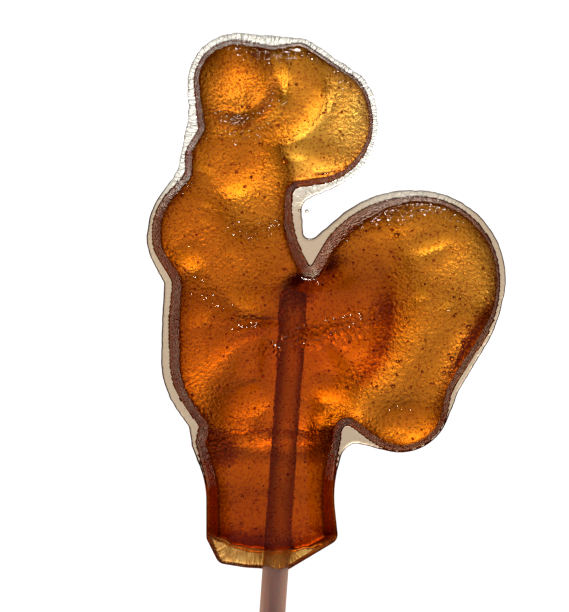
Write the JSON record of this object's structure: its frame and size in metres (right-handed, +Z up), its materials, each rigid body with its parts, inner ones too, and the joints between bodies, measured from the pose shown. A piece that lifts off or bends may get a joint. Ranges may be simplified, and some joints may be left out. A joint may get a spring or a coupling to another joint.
{
  "type": "lollipop",
  "caption": "Burnt-sugar lollipop cast as a flat cockerel with a comb and an arched tail, a thin moulding flash round its edge, on a straight round stick, lying on its back.",
  "frame": {"origin": "on the table under the middle of the lollipop's box, as it lies on its back", "axes": "+Y from the stick's free end to the cockerel's comb, +Z up from the table out of the shown side, +X towards the cockerel's tail"},
  "size_m": [0.0482, 0.1552, 0.0146],
  "materials": {
    "burnt_sugar": "clear amber boiled sugar, glossy and finely pebbled, with small air bubbles",
    "white_stick": "white moulded stick, satin"
  },
  "bodies": {
    "root": {"candy": "burnt_sugar", "stick": "white_stick"}
  },
  "joints": []
}
